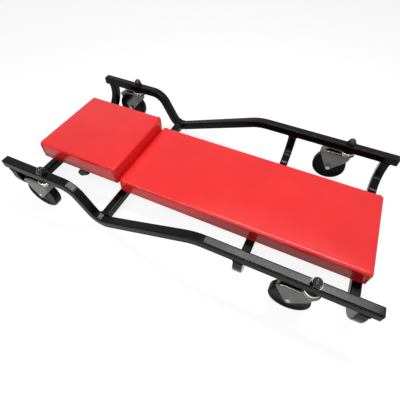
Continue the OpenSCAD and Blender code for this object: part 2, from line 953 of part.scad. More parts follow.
// Rubber tyre with round shoulders
module tyre() {
    face = wheel_w / 2;
    color("#141414")
        translate([-trail, 0, wheel_r])
            rotate([90, 0, 0])
                rotate_extrude($fn = 96) {
                    translate([core_r, -face])
                        square([wheel_r - core_r - tyre_round, wheel_w]);
                    translate([core_r, -face + tyre_round])
                        square([wheel_r - core_r, wheel_w - 2 * tyre_round]);
                    for (y = [-1, 1])
                        translate([wheel_r - tyre_round, y * (face - tyre_round)])
                            circle(r = tyre_round);
                }
}

// Stem: a headed king pin under the race cap and a bolt through the rail
module caster_stems() {
    king_z = race_z - fork_sheet - ball_gap;
    color(zinc)
        at_all_casters() {
            translate([0, 0, king_z - king_head_h])
                cylinder(h = king_head_h, r = king_head_r);
            translate([0, 0, king_z])
                cylinder(h = cap_z - king_z, r = king_r);
            translate([0, 0, cap_z])
                cylinder(h = rail_top - cap_z + washer_t + dome_hex_h, r = stem_r);
        }
}

// Upper race: a cap clamped under the rail, with a skirt round the balls
module race_caps() {
    low = race_z + ball_gap;
    color(chrome)
        at_all_casters()
            rotate_extrude()
                difference() {
                    union() {
                        translate([stem_r + fit_gap, cap_z])
                            square([race_cap_r - cap_round - stem_r - fit_gap, caster_z - cap_z]);
                        translate([race_cap_r - cap_skirt, low])
                            square([cap_skirt, caster_z - cap_round - low]);
                        translate([race_cap_r - cap_round, caster_z - cap_round])
                            circle(r = cap_round);
                    }
                    translate([ball_pitch, ball_z])
                        circle(r = ball_d / 2 + ball_seat);
                }
}

module bearing_balls() {
    color(chrome)
        at_all_casters()
            for (i = [0 : ball_n - 1])
                rotate([0, 0, 360 * i / ball_n])
                    translate([ball_pitch, 0, ball_z])
                        sphere(d = ball_d, $fn = 24);
}

module stem_washers() {
    color(black)
        at_all_casters()
            translate([0, 0, rail_top])
                difference() {
                    cylinder(h = washer_t, r = washer_r);
                    translate([0, 0, -overrun])
                        cylinder(h = washer_t + 2 * overrun, r = stem_r + bolt_gap);
                }
}

// Dome nuts: a hexagon with its upper corners turned off, and a dome
module dome_nuts() {
    corner = dome_flats / sqrt(3);
    seat = rail_top + washer_t;
    color(black)
        at_all_casters()
            translate([0, 0, seat])
                difference() {
                    union() {
                        intersection() {
                            cylinder(h = dome_hex_h, r = corner, $fn = 6);
                            cylinder(h = dome_hex_h, r1 = corner + dome_hex_h, r2 = dome_flats / 2);
                        }
                        intersection() {
                            translate([0, 0, dome_hex_h])
                                sphere(r = dome_r);
                            cylinder(h = dome_hex_h + dome_r + overrun, r = dome_flats / 2);
                        }
                    }
                    translate([0, 0, -overrun])
                        cylinder(h = dome_hex_h + 2 * overrun, r = stem_r + fit_gap);
                }
}

rail(-1);  // near_rail
rail(1);  // far_rail
dropped_bar(head_bar_x);  // head_cross_bar
drilled() neck_bar();  // neck_cross_bar
drilled() dropped_bar(mid_bar_x);  // middle_cross_bar
drilled() dropped_bar(foot_bar_x);  // foot_cross_bar
carrier(-1);  // near_headrest_carrier
carrier(1);  // far_headrest_carrier
pivot_saddle(-1);  // near_pivot_saddle
pivot_saddle(1);  // far_pivot_saddle
rail_end_caps();
main_board();
main_foam();
main_cover();
board_screws();
headrest_board();
headrest_foam();
headrest_cover();
headrest_bracket(-1);  // near_headrest_bracket
headrest_bracket(1);  // far_headrest_bracket
bracket_screws();
pivot_bolt();
pivot_washers();
clamp_lever();
caster_stems();
race_caps();
bearing_balls();
stem_washers();
dome_nuts();
for (c = corners) {
    at_caster(c) fork();
    at_caster(c) axle_bolt();
    at_caster(c) axle_nut();
    at_caster(c) axle_sleeve();
    at_caster(c) wheel_core();
    at_caster(c) tyre();
}
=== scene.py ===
"""Looks of a mechanic creeper: a padded board and headrest between two bent rails on four casters."""
import math

import bmesh
import bpy
import numpy as np
from mathutils import Matrix, Vector


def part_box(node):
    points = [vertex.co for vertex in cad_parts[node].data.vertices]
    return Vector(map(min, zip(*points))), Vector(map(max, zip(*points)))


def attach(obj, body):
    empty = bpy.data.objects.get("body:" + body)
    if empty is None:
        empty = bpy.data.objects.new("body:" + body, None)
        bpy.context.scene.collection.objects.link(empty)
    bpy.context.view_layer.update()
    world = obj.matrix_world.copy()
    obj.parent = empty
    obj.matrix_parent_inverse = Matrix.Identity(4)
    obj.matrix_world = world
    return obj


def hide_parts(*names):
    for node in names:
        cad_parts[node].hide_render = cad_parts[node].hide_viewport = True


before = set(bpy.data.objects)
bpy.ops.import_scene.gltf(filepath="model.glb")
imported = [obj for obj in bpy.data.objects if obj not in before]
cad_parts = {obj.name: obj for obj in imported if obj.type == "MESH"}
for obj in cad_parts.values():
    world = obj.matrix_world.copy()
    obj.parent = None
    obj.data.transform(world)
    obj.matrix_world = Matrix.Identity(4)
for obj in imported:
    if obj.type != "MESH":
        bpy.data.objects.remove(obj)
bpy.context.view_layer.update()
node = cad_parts

# Camera
# The view is from above the near side, turned a little toward the head end, with the whole board
# in a square frame.
camera_at = Vector((0.2639, -0.598, 0.7669))
turned, tipped, rolled = -0.4294, 0.8937, 0.0124
forward = Vector((math.sin(turned) * math.cos(tipped), math.cos(turned) * math.cos(tipped),
                  -math.sin(tipped)))
level = Vector((math.cos(turned), -math.sin(turned), 0.0))
above = level.cross(forward)
right = math.cos(rolled) * level + math.sin(rolled) * above
upward = math.cos(rolled) * above - math.sin(rolled) * level
camera = bpy.data.objects.new("camera", bpy.data.cameras.new("camera"))
camera.data.sensor_width = 36.0
camera.data.lens = 28.08
camera.data.clip_start = 0.01
aim = Matrix((right, upward, -forward)).transposed().to_4x4()
camera.matrix_world = Matrix.Translation(camera_at) @ aim
bpy.context.scene.collection.objects.link(camera)
bpy.context.scene.camera = camera

# Studio
# A white floor and backdrop. Two long lamps high on the far side give the sheen on the near rail's
# top and bend, a long one over the near side gives the bright line along the pads' edges, and a broad
# and a small one fill from the near side.
bpy.context.scene.view_settings.view_transform = "Standard"


def seen_directly(tree):
    """1 on camera, glossy and transmission rays and 0 on all others: the largest of the three flags."""
    path = tree.nodes.new("ShaderNodeLightPath")
    most = path.outputs["Is Camera Ray"]
    for flag in ("Is Glossy Ray", "Is Transmission Ray"):
        pick = tree.nodes.new("ShaderNodeMath")
        pick.operation = "MAXIMUM"
        tree.links.new(most, pick.inputs[0])
        tree.links.new(path.outputs[flag], pick.inputs[1])
        most = pick.outputs[0]
    return most


room = bpy.data.worlds.new("room")
room.use_nodes = True
bpy.context.scene.world = room
room_level = room.node_tree.nodes.new("ShaderNodeMapRange")
room_level.inputs["To Min"].default_value = 0.15
room_level.inputs["To Max"].default_value = 1.0
room.node_tree.links.new(seen_directly(room.node_tree), room_level.inputs["Value"])
room_glow = room.node_tree.nodes["Background"]
room_glow.inputs["Color"].default_value = (1.0, 1.0, 1.0, 1.0)
room.node_tree.links.new(room_level.outputs["Result"], room_glow.inputs["Strength"])

floor_mesh = bpy.data.meshes.new("floor")
reach = 9.0
floor_mesh.from_pydata([(-reach, -reach, 0), (reach, -reach, 0), (reach, reach, 0), (-reach, reach, 0)], [],
                       [(0, 1, 2, 3)])
floor = bpy.data.objects.new("floor", floor_mesh)
bpy.context.scene.collection.objects.link(floor)
paper = bpy.data.materials.new("white_paper_floor")
paper.use_nodes = True
paper_look = paper.node_tree.nodes["Principled BSDF"]
paper_look.inputs["Base Color"].default_value = (0.2, 0.2, 0.2, 1.0)
paper_look.inputs["Roughness"].default_value = 1.0
paper_look.inputs["Specular IOR Level"].default_value = 0.0
paper_look.inputs["Emission Color"].default_value = (1.0, 1.0, 1.0, 1.0)
paper_glow = paper.node_tree.nodes.new("ShaderNodeMath")
paper_glow.operation = "MULTIPLY"
paper_glow.inputs[1].default_value = 0.86
paper.node_tree.links.new(seen_directly(paper.node_tree), paper_glow.inputs[0])
paper.node_tree.links.new(paper_glow.outputs[0], paper_look.inputs["Emission Strength"])
floor_mesh.materials.append(paper)


def soft_lamp(name, place, target, width, height, power):
    """A rectangular area lamp at place that faces target."""
    lamp = bpy.data.lights.new(name, "AREA")
    lamp.shape = "RECTANGLE"
    lamp.size, lamp.size_y, lamp.energy = width, height, power
    stand = bpy.data.objects.new(name, lamp)
    stand.location = place
    stand.rotation_euler = (Vector(target) - Vector(place)).to_track_quat("-Z", "Y").to_euler()
    bpy.context.scene.collection.objects.link(stand)


soft_lamp("top_lamp", (-0.7, -0.8, 1.5), (-0.4, -0.13, 0.12), 1.2, 0.3, 6.5)
soft_lamp("edge_lamp", (-0.1, -1.55, 0.95), (-0.1, -0.13, 0.09), 2.2, 0.08, 12.0)
soft_lamp("back_lamp", (0.38, 0.583, 1.6), (0.38, -0.24, 0.14), 1.35, 0.07, 9.5)
soft_lamp("bend_lamp", (0.2, 0.43, 1.6), (0.285, -0.24, 0.14), 1.2, 0.06, 10.5)
soft_lamp("front_lamp", (0.15, -0.95, 1.35), (0.0, 0.0, 0.1), 0.08, 0.08, 1.5)

# Side rails, cross bars, headrest carriers, saddles and brackets
# Square steel tube and folded sheet, welded together and powder coated black. The coat has a fine
# orange-peel grain and a gloss that drifts a little along it.


def material(name):
    """A new material with its shader and the piece's own coordinates."""
    made = bpy.data.materials.new(name)
    made.use_nodes = True
    tree = made.node_tree
    coordinates = tree.nodes.new("ShaderNodeTexCoord").outputs["Object"]
    return made, tree, tree.nodes["Principled BSDF"], coordinates


def mottle(tree, coordinates, scale, detail=2.0, stretch=(1.0, 1.0, 1.0)):
    """Noise of a given number of grains a metre, stretched along the axes."""
    mapping = tree.nodes.new("ShaderNodeMapping")
    mapping.inputs["Scale"].default_value = stretch
    noise = tree.nodes.new("ShaderNodeTexNoise")
    noise.inputs["Scale"].default_value = scale
    noise.inputs["Detail"].default_value = detail
    tree.links.new(coordinates, mapping.inputs["Vector"])
    tree.links.new(mapping.outputs["Vector"], noise.inputs["Vector"])
    return noise.outputs["Fac"]


def between(tree, share, low, high, start=0.3, stop=0.7):
    """A number that goes from low to high as share goes from start to stop."""
    limits = tree.nodes.new("ShaderNodeMapRange")
    for socket, value in (("From Min", start), ("From Max", stop), ("To Min", low), ("To Max", high)):
        limits.inputs[socket].default_value = value
    tree.links.new(share, limits.inputs["Value"])
    return limits.outputs["Result"]


def two_colours(tree, share, first, second):
    """A colour that goes from the first to the second as share goes from 0 to 1."""
    mix = tree.nodes.new("ShaderNodeMix")
    mix.data_type = "RGBA"
    mix.inputs["A"].default_value = (*first, 1.0)
    mix.inputs["B"].default_value = (*second, 1.0)
    tree.links.new(share, mix.inputs["Factor"])
    return mix.outputs["Result"]


def relief(tree, look, height, depth, strength=1.0):
    """Bumps of a given depth in metres where height goes from 0 to 1."""
    bump = tree.nodes.new("ShaderNodeBump")
    bump.inputs["Distance"].default_value = depth
    bump.inputs["Strength"].default_value = strength
    tree.links.new(height, bump.inputs["Height"])
    tree.links.new(bump.outputs["Normal"], look.inputs["Normal"])


def powder_coat():
    made, tree, look, place = material("black_powder_coat")
    peel = mottle(tree, place, 450.0, 2.0)
    cloud = mottle(tree, place, 14.0, 2.0)
    tree.links.new(two_colours(tree, between(tree, peel, 0.0, 1.0), (0.0008, 0.0009, 0.0009),
                               (0.0028, 0.003, 0.003)), look.inputs["Base Color"])
    tree.links.new(between(tree, cloud, 0.13, 0.17), look.inputs["Roughness"])
    look.inputs["Specular IOR Level"].default_value = 0.11
    relief(tree, look, peel, 0.00005, 0.17)
    return made


black_coat = powder_coat()


def dress(finish, *names):
    """Gives CAD nodes a material in place of their plain one."""
    for name in names:
        node[name].data.materials.clear()
        node[name].data.materials.append(finish)


dress(black_coat, "near_rail", "far_rail", "head_cross_bar", "neck_cross_bar", "middle_cross_bar",
      "foot_cross_bar", "near_headrest_carrier", "far_headrest_carrier", "near_pivot_saddle",
      "far_pivot_saddle", "near_headrest_bracket", "far_headrest_bracket")

# Welds of the frame
# Fillet beads run round the cross bars' ends under the rails, round the neck bar's ends and round
# the carriers' ends, with the ripples of a hand-held torch. Those of the neck bar are fuller and
# ground smooth. All are under the same black coat.
tube, tube_corner = 0.025, 0.004
bead, ground_bead = 0.0017, 0.0034
ripple, ground_ripple = 0.16, 0.03
sunk, ground_sunk = 0.35, 0.3


def square_path(size, corner, count):
    """Points evenly spaced round a square with round corners, and the way out at each: quarter
    circles about the corner centres joined by straight sides, walked by arc length."""
    per_quarter = 25
    turns = np.concatenate([np.linspace(q * np.pi / 2, (q + 1) * np.pi / 2, per_quarter) for q in range(4)])
    half = size / 2 - corner
    quarter = np.repeat(np.arange(4), per_quarter)
    centre = np.stack([np.where((quarter == 0) | (quarter == 3), half, -half),
                       np.where(quarter < 2, half, -half)], 1)
    out = np.stack([np.cos(turns), np.sin(turns)], 1)
    points = np.concatenate([centre + corner * out, (centre + corner * out)[:1]])
    ways = np.concatenate([out, out[:1]])
    walked = np.concatenate([[0.0], np.cumsum(np.linalg.norm(np.diff(points, axis=0), axis=1))])
    stops = np.linspace(0.0, walked[-1], count, endpoint=False)
    where = np.stack([np.interp(stops, walked, points[:, i]) for i in range(2)], 1)
    way = np.stack([np.interp(stops, walked, ways[:, i]) for i in range(2)], 1)
    return where, way / np.linalg.norm(way, axis=1, keepdims=True), stops


def weld_bead(middle, across, up, out_of, radius, waves):
    """A ring of weld: a circle carried round the tube's outline. A point is the outline's point plus
    the circle's size times (cosine of the way round times outward, and sine times the tube's own
    way). That size is the radius, swelled by waves times the height of a sine along the outline and
    by a slow sway."""
    rings, sides = 160, 8
    pitch, sway, sway_length = 0.0032, 0.1, 0.007
    where, way, stops = square_path(tube, tube_corner, rings)
    middle, across, up, out_of = (np.array(v, float) for v in (middle, across, up, out_of))
    phase = np.linspace(0, 2 * np.pi, sides + 1)[:-1]
    swelled = 1 + waves * np.abs(np.sin(np.pi * stops / pitch)) + sway * np.sin(stops / sway_length)
    size = radius * swelled
    ring = middle + where[:, :1] * across + where[:, 1:] * up
    outward = way[:, :1] * across + way[:, 1:] * up
    return (ring[:, None] + size[:, None, None] * (np.cos(phase)[None, :, None] * outward[:, None]
                                                   + np.sin(phase)[None, :, None] * out_of))


def grid_mesh(name, grids, capped=False):
    """One mesh of grids of points. Each grid closes on itself across, and lengthwise it closes on
    itself too or ends in flat caps. It is turned by the sign of its volume, so its faces look out."""
    points, faces, base = [], [], 0
    for grid in grids:
        n, m = grid.shape[:2]
        i, j = np.meshgrid(np.arange(n - capped), np.arange(m), indexing="ij")
        next_i, next_j = (i + 1) % n, (j + 1) % m
        quads = np.stack([i * m + j, next_i * m + j, next_i * m + next_j, i * m + next_j], -1)
        quads = quads.reshape(-1, 4)
        flat = grid.reshape(-1, 3)
        a, b, c, d = ((flat - flat.mean(0))[quads[:, k]] for k in range(4))
        volume = (np.einsum("ij,ij->i", a, np.cross(b, c)) + np.einsum("ij,ij->i", a, np.cross(c, d))).sum()
        rows = quads.tolist()
        if capped:
            rows += [list(range(m)), list(range((n - 1) * m, n * m))[::-1]]
        faces += [[base + k for k in (row if volume > 0 else row[::-1])] for row in rows]
        points.append(flat)
        base += len(flat)
    mesh = bpy.data.meshes.new(name)
    mesh.from_pydata(np.concatenate(points).tolist(), [], faces)
    mesh.polygons.foreach_set("use_smooth", np.ones(len(mesh.polygons), bool))
    made = bpy.data.objects.new(name, mesh)
    bpy.context.scene.collection.objects.link(made)
    return made


weld_rings = []
for bar in ("head_cross_bar", "middle_cross_bar", "foot_cross_bar"):
    low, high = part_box(bar)
    for side in (low.y + tube / 2, high.y - tube / 2):
        weld_rings.append(weld_bead(((low.x + high.x) / 2, side, high.z - bead * sunk),
                                    (1, 0, 0), (0, 1, 0), (0, 0, 1), bead, ripple))
low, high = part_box("neck_cross_bar")
for side, inward in ((low.y, 1), (high.y, -1)):
    end = side + inward * ground_bead * ground_sunk
    weld_rings.append(weld_bead(((low.x + high.x) / 2, end, (low.z + high.z) / 2),
                                (1, 0, 0), (0, 0, 1), (0, 1, 0), ground_bead, ground_ripple))
for carrier in ("near_headrest_carrier", "far_headrest_carrier"):
    low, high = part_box(carrier)
    for end, inward in ((low.x, 1), (high.x, -1)):
        weld_rings.append(weld_bead((end + inward * bead * sunk, (low.y + high.y) / 2,
                                     (low.z + high.z) / 2), (0, 1, 0), (0, 0, 1), (1, 0, 0), bead, ripple))
frame_welds = grid_mesh("frame_welds", weld_rings)
frame_welds.data.materials.append(black_coat)
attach(frame_welds, "frame")

# End caps of the rails and clamp lever
# Moulded plastic: plugs pushed into the tube's ends, and a lever on the headrest's bolt, both with
# a fine spark-eroded grain.


def moulded_black():
    made, tree, look, place = material("black_moulded_plastic")
    grain = mottle(tree, place, 1500.0, 2.0)
    wear = mottle(tree, place, 60.0, 3.0)
    tree.links.new(two_colours(tree, between(tree, wear, 0.0, 1.0), (0.006, 0.006, 0.006),
                               (0.011, 0.011, 0.011)), look.inputs["Base Color"])
    tree.links.new(between(tree, wear, 0.36, 0.48), look.inputs["Roughness"])
    look.inputs["Specular IOR Level"].default_value = 0.15
    relief(tree, look, grain, 0.00003, 0.5)
    return made


black_plastic = moulded_black()
dress(black_plastic, "rail_end_caps", "clamp_lever")

# Boards
# Plywood under each pad: pale veneers with dark glue lines on the sawn edges, and a face grain that
# runs the long way.


def plywood():
    made, tree, look, place = material("plywood")
    grain = mottle(tree, place, 55.0, 4.0, (0.12, 1.0, 1.0))
    fibre = mottle(tree, place, 420.0, 2.0, (0.06, 1.0, 1.0))
    face = two_colours(tree, between(tree, grain, 0.0, 1.0), (0.47, 0.31, 0.16), (0.66, 0.49, 0.29))
    parts = tree.nodes.new("ShaderNodeSeparateXYZ")
    tree.links.new(place, parts.inputs["Vector"])
    veneers = tree.nodes.new("ShaderNodeMath")
    veneers.operation = "PINGPONG"
    veneers.inputs[1].default_value = 0.0024
    tree.links.new(parts.outputs["Z"], veneers.inputs[0])
    glue = tree.nodes.new("ShaderNodeMix")
    glue.data_type = "RGBA"
    glue.inputs["B"].default_value = (0.2, 0.11, 0.05, 1.0)
    tree.links.new(between(tree, veneers.outputs[0], 1.0, 0.0, 0.0, 0.0004), glue.inputs["Factor"])
    tree.links.new(face, glue.inputs["A"])
    tree.links.new(glue.outputs["Result"], look.inputs["Base Color"])
    tree.links.new(between(tree, fibre, 0.6, 0.8), look.inputs["Roughness"])
    relief(tree, look, fibre, 0.0001, 0.5)
    return made


dress(plywood(), "main_board", "headrest_board")

# Cushions
# Foam blocks under red vinyl that is drawn tight over the board's edge and stapled beneath. The
# upper edges are round and the top is slightly crowned; the sides draw in toward the board.
pad_width, pad_corner, pad_shoulder, pad_crown = 0.267, 0.008, 0.008, 0.0012
skin, turn_in, board_height, board_corner = 0.0012, 0.022, 0.012, 0.0055
stand_out, bulge, lean, swell = 0.004, 0.0013, 0.022, 0.0006


def red_vinyl():
    made, tree, look, place = material("red_vinyl")
    cells = tree.nodes.new("ShaderNodeTexVoronoi")
    cells.feature = "DISTANCE_TO_EDGE"
    cells.inputs["Scale"].default_value = 720.0
    tree.links.new(place, cells.inputs["Vector"])
    cloud = mottle(tree, place, 9.0, 2.0)
    tree.links.new(two_colours(tree, between(tree, cloud, 0.0, 1.0), (0.78, 0.018, 0.02),
                               (0.84, 0.023, 0.025)), look.inputs["Base Color"])
    tree.links.new(between(tree, cloud, 0.165, 0.19), look.inputs["Roughness"])
    look.inputs["Specular IOR Level"].default_value = 0.29
    relief(tree, look, between(tree, cells.outputs["Distance"], 0.0, 1.0, 0.0, 0.25), 0.00004, 0.35)
    return made


vinyl = red_vinyl()


def along_side(share, half_along, half_across, radius):
    """A point on one side of a rectangle with round corners, from mid corner to mid corner: by arc
    length along the straight part, and past its ends by the angle of the corner's circle."""
    straight = half_along - radius
    walked = (2 * share - 1) * (straight + np.pi * radius / 4)
    angle = np.maximum(np.abs(walked) - straight, 0.0) / radius
    return (np.sign(walked) * (np.minimum(np.abs(walked), straight) + radius * np.sin(angle)),
            half_across - radius + radius * np.cos(angle))


def pad_sheet(name, length, width, height, shoulder, crown, middle, under, crease):
    """The cover's outer face as one grid drawn over the pad. The grid's outer rings are rectangles
    with round corners. Going up they follow the side, drawn in by the bulge times one minus the sine of
    the height above the board, and then a quarter circle of the shoulder's radius. Inside them the
    top rises by crown times (1 - y^2)^1.5 times (1 - x^6)^1.5, each from the middle to the edge. The
    end that faces the other pad has no bulge and leans back by lean times the height, which leaves
    room for the headrest's tilt."""
    ring_step, cell, least_radius = 0.0042, 0.0043, 0.001
    low_rings, turn_rings = 4, 5
    board_top = skin + board_height
    wall = height - shoulder - board_top
    steps = round(wall / ring_step)
    up = np.arange(1, steps + 1) / steps
    turn = np.pi / 2 * np.arange(1, turn_rings + 1) / (turn_rings + 1)
    rings_z = np.concatenate([board_top * np.arange(low_rings) / (low_rings - 1), board_top + up * wall,
                              height - shoulder + shoulder * np.sin(turn)])
    rings_in = np.concatenate([np.full(low_rings, bulge), bulge * (1 - np.sin(up * np.pi / 2)),
                               shoulder * (1 - np.cos(turn))])
    count = len(rings_z)
    half_length, half_width = length / 2, width / 2
    n = 2 * (round((half_length - shoulder) / cell) + count)
    m = 2 * (round((half_width - shoulder) / cell) + count)
    i, j = np.meshgrid(np.arange(n + 1), np.arange(m + 1), indexing="ij")
    ring = np.minimum(np.minimum(i, n - i), np.minimum(j, m - j))
    outer = ring < count
    k = np.minimum(ring, count - 1)
    inset = rings_in[k]
    radius = np.maximum(pad_corner - inset, least_radius)
    on_end = (i == ring) | (i == n - ring)
    end_along, end_out = along_side((j - k) / np.maximum(m - 2 * k, 1), half_width - inset,
                                    half_length - inset, radius)
    side_along, side_out = along_side((i - k) / np.maximum(n - 2 * k, 1), half_length - inset,
                                      half_width - inset, radius)
    x = np.where(on_end, np.where(i == ring, -end_out, end_out), side_along)
    y = np.where(on_end, end_along, np.where(j == ring, -side_out, side_out))
    u = (i - n / 2) / (n / 2 - count)
    v = (j - m / 2) / (m / 2 - count)
    rise = ((1 - np.clip(v, -1, 1) ** 2) ** 1.5) * ((1 - np.clip(u, -1, 1) ** 6) ** 1.5)
    x = np.where(outer, x, u * (half_length - shoulder))
    toward = np.clip(crease * x / half_length, 0.0, 1.0)
    x = x + middle + crease * toward * np.where(outer & (rings_z[k] < height - shoulder), inset, 0.0)
    y = np.where(outer, y, v * (half_width - shoulder))
    z = np.where(outer, rings_z[k], height + crown * rise)
    x = x - crease * toward * lean * z
    z = z + under
    a, b = np.meshgrid(np.arange(n), np.arange(m), indexing="ij")
    first = a * (m + 1) + b
    quads = np.stack([first, first + m + 1, first + m + 2, first + 1], -1).reshape(-1, 4)
    mesh = bpy.data.meshes.new(name)
    mesh.from_pydata(np.stack([x, y, z], -1).reshape(-1, 3).tolist(), [], quads.tolist())
    made = bpy.data.objects.new(name, mesh)
    bpy.context.scene.collection.objects.link(made)
    return made, n + 1


def apply_modifiers(piece):
    """Puts what the modifiers make into the piece's own mesh."""
    graph = bpy.context.evaluated_depsgraph_get()
    finished = bpy.data.meshes.new_from_object(piece.evaluated_get(graph))
    piece.modifiers.clear()
    piece.data = finished


def points_of(mesh):
    """A mesh's points, one row of x, y and z for each."""
    flat = np.zeros(len(mesh.vertices) * 3)
    mesh.vertices.foreach_get("co", flat)
    return flat.reshape(-1, 3)


def stuff(pad, rows, under, most):
    """Swells a pad's cover: it is blown up as cloth, held where it wraps the board. The outward way
    of each grid point is evened out with its neighbours and brought to the range of 0 to most. It is
    then taken times a smooth step of the height above the board, and less lengthwise."""
    last_frame, passes, ramp, margin, lengthwise = 20, 12, 0.02, 0.001, 0.4
    start = points_of(pad.data)
    outward = np.zeros(start.size)
    pad.data.vertices.foreach_get("normal", outward)
    outward = outward.reshape(-1, 3)
    held = pad.vertex_groups.new(name="held")
    low = np.nonzero(start[:, 2] < under + skin + board_height + margin)[0]
    held.add(low.tolist(), 1.0, "REPLACE")
    cloth = pad.modifiers.new("swell", "CLOTH")
    cloth.settings.quality = 6
    cloth.settings.use_pressure = True
    cloth.settings.uniform_pressure_force = 4.0
    cloth.settings.effector_weights.gravity = 0.0
    cloth.settings.tension_stiffness = 25.0
    cloth.settings.compression_stiffness = 25.0
    cloth.settings.bending_stiffness = 1.2
    cloth.settings.vertex_group_mass = "held"
    cloth.collision_settings.use_collision = False
    cloth.point_cache.frame_start, cloth.point_cache.frame_end = 1, last_frame
    for step in range(1, last_frame + 1):
        bpy.context.scene.frame_set(step)
    apply_modifiers(pad)
    bpy.context.scene.frame_set(1)
    pad.vertex_groups.clear()
    out = ((points_of(pad.data) - start) * outward).sum(1).reshape(rows, -1)
    for step in range(passes):
        padded = np.pad(out, 1, mode="edge")
        out = (padded[:-2, 1:-1] + padded[2:, 1:-1] + padded[1:-1, :-2] + padded[1:-1, 2:] + 2 * out) / 6
    share = ((out - out.min()) / (out.max() - out.min())).reshape(-1, 1)
    lift = np.clip((start[:, 2:] - under - skin - board_height) / ramp, 0.0, 1.0)
    rise = most * share * lift * lift * (3 - 2 * lift)
    pad.data.vertices.foreach_set("co", (start + rise * outward * (lengthwise, 1.0, 1.0)).ravel())


def close_below(pad):
    """Adds a flat face across the open lower edge. The four corner faces, which have three points on
    that edge, are first split from the corner inward, so that no two faces share a diagonal."""
    shape = bmesh.new()
    shape.from_mesh(pad.data)
    for face in [face for face in shape.faces if sum(v.is_boundary for v in face.verts) == 3]:
        corner = next(v for v in face.verts if len(v.link_edges) == 2)
        across = next(v for v in face.verts if not v.is_boundary)
        bmesh.utils.face_split(face, corner, across)
    bmesh.ops.contextual_create(shape, geom=[edge for edge in shape.edges if edge.is_boundary])
    bmesh.ops.recalc_face_normals(shape, faces=shape.faces)
    shape.to_mesh(pad.data)
    shape.free()


def cut_block(pad, half_length, half_width, radius, middle, bottom, top):
    """Cuts an upright block with round corners out of a closed pad."""
    per_quarter = 7
    angle = np.concatenate([np.linspace(q * np.pi / 2, (q + 1) * np.pi / 2, per_quarter) for q in range(4)])
    quarter = np.repeat(np.arange(4), per_quarter)
    x = np.where((quarter == 0) | (quarter == 3), 1, -1) * (half_length - radius) + radius * np.cos(angle)
    y = np.where(quarter < 2, 1, -1) * (half_width - radius) + radius * np.sin(angle)
    count = len(angle)
    corners = [(a + middle, b, z) for z in (bottom, top) for a, b in zip(x.tolist(), y.tolist())]
    walls = [(k, (k + 1) % count, (k + 1) % count + count, k + count) for k in range(count)]
    mesh = bpy.data.meshes.new("cutter")
    mesh.from_pydata(corners, [], [list(range(count))[::-1], list(range(count, 2 * count))] + walls)
    cutter = bpy.data.objects.new("cutter", mesh)
    bpy.context.scene.collection.objects.link(cutter)
    cut = pad.modifiers.new("pocket", "BOOLEAN")
    cut.operation, cut.solver, cut.object = "DIFFERENCE", "EXACT", cutter
    apply_modifiers(pad)
    bpy.data.objects.remove(cutter)


def make_cushion(name, cover, board, head_out, foot_out, body):
    """The pad that stands for a cover and its foam, with a pocket for the board and a turned-in
    edge under it."""
    low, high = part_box(cover)
    length, middle, under = high.x - low.x, (high.x + low.x) / 2, low.z
    pad, rows = pad_sheet(name, length + head_out + foot_out, pad_width + 2 * stand_out,
                          high.z - low.z - pad_crown - swell, pad_shoulder, pad_crown,
                          middle + (foot_out - head_out) / 2, under, 1 if foot_out < head_out else -1)
    stuff(pad, rows, under, swell)
    finer = pad.modifiers.new("finer", "SUBSURF")
    finer.levels = finer.render_levels = 1
    apply_modifiers(pad)
    close_below(pad)
    board_low, board_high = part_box(board)
    play, past, below, opening_corner = 0.0001, 0.001, 0.01, 0.001
    half = (board_high - board_low) / 2
    cut_block(pad, half.x + play, half.y + play, board_corner, middle, board_low.z, board_high.z + play)
    cut_block(pad, length / 2 - turn_in, pad_width / 2 - turn_in, opening_corner, middle,
              low.z - below, board_low.z + past)
    pad.data.polygons.foreach_set("use_smooth", np.ones(len(pad.data.polygons), bool))
    pad.data.set_sharp_from_angle(angle=math.radians(40))
    pad.data.materials.clear()
    pad.data.materials.append(vinyl)
    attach(pad, body)
    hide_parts(cover, cover.replace("_cover", "_foam"))
    return pad


main_cushion = make_cushion("main_cushion", "main_cover", "main_board", 0.0005, 0.005, "frame")
headrest_cushion = make_cushion("headrest_cushion", "headrest_cover", "headrest_board", 0.0045, 0.0005,
                                "headrest")

# Corner folds of the cushions
# Where the vinyl goes round a corner, its spare width is laid in a pleat on the long side. The flap's
# rolled edge and the low roll beside it leave a narrow dark groove from the top down to the board.


